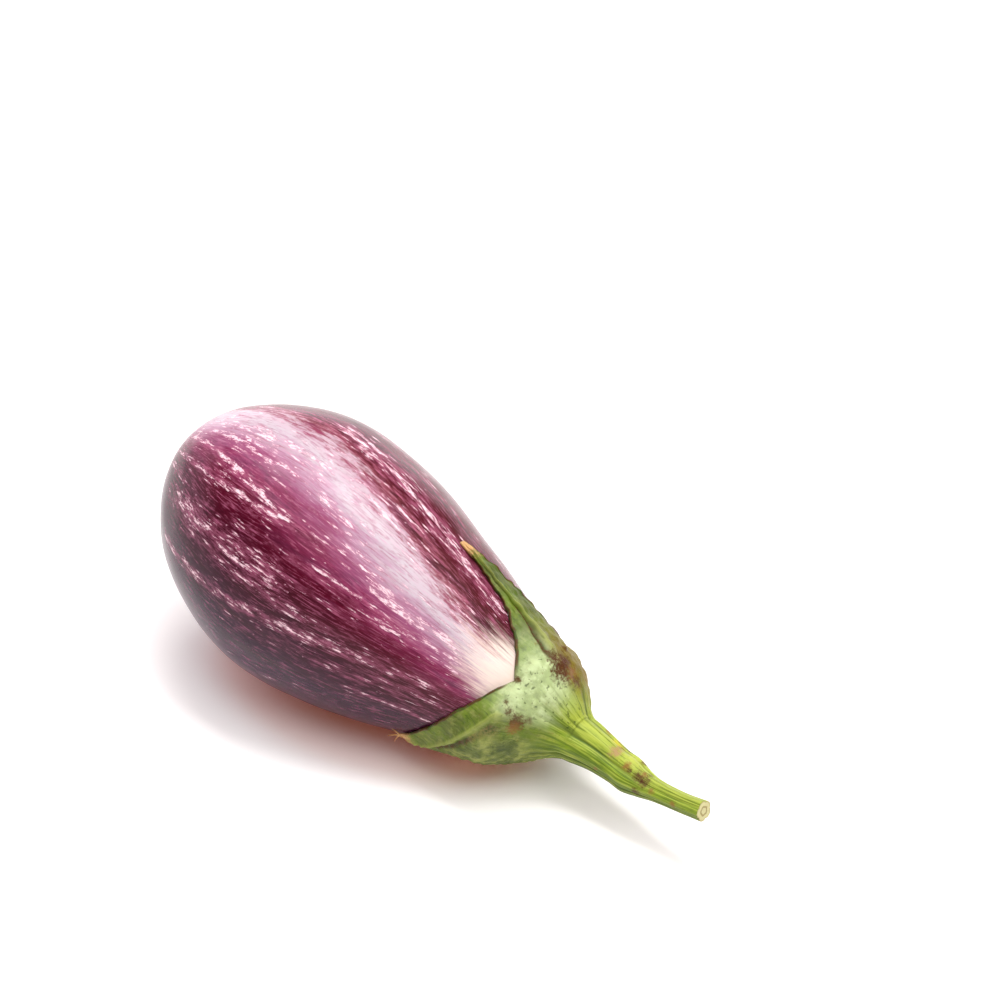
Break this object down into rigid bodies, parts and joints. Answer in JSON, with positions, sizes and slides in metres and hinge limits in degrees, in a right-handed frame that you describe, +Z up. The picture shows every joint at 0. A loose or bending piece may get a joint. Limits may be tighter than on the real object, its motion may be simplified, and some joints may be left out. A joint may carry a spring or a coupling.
{
  "type": "eggplant",
  "caption": "Whole streaked purple eggplant lying on its side, with a green calyx of pointed sepals round its neck and a short cut stem.",
  "frame": {"origin": "under the middle of the whole eggplant's bounding box, on the plane that it lies on", "axes": "+X along the fruit from the blossom end towards the stem, +Z up"},
  "size_m": [0.2054, 0.0828, 0.0873],
  "materials": {
    "skin": "glossy waxy skin, plum purple with fine pale lengthwise streaks",
    "calyx": "leathery satin green with darker specks and brown scuffs",
    "stem": "ribbed yellow-green stalk with a brown scarred joint and a dry cut end"
  },
  "bodies": {
    "root": {"fruit": "skin", "calyx": "calyx", "stem": "stem"}
  },
  "joints": []
}
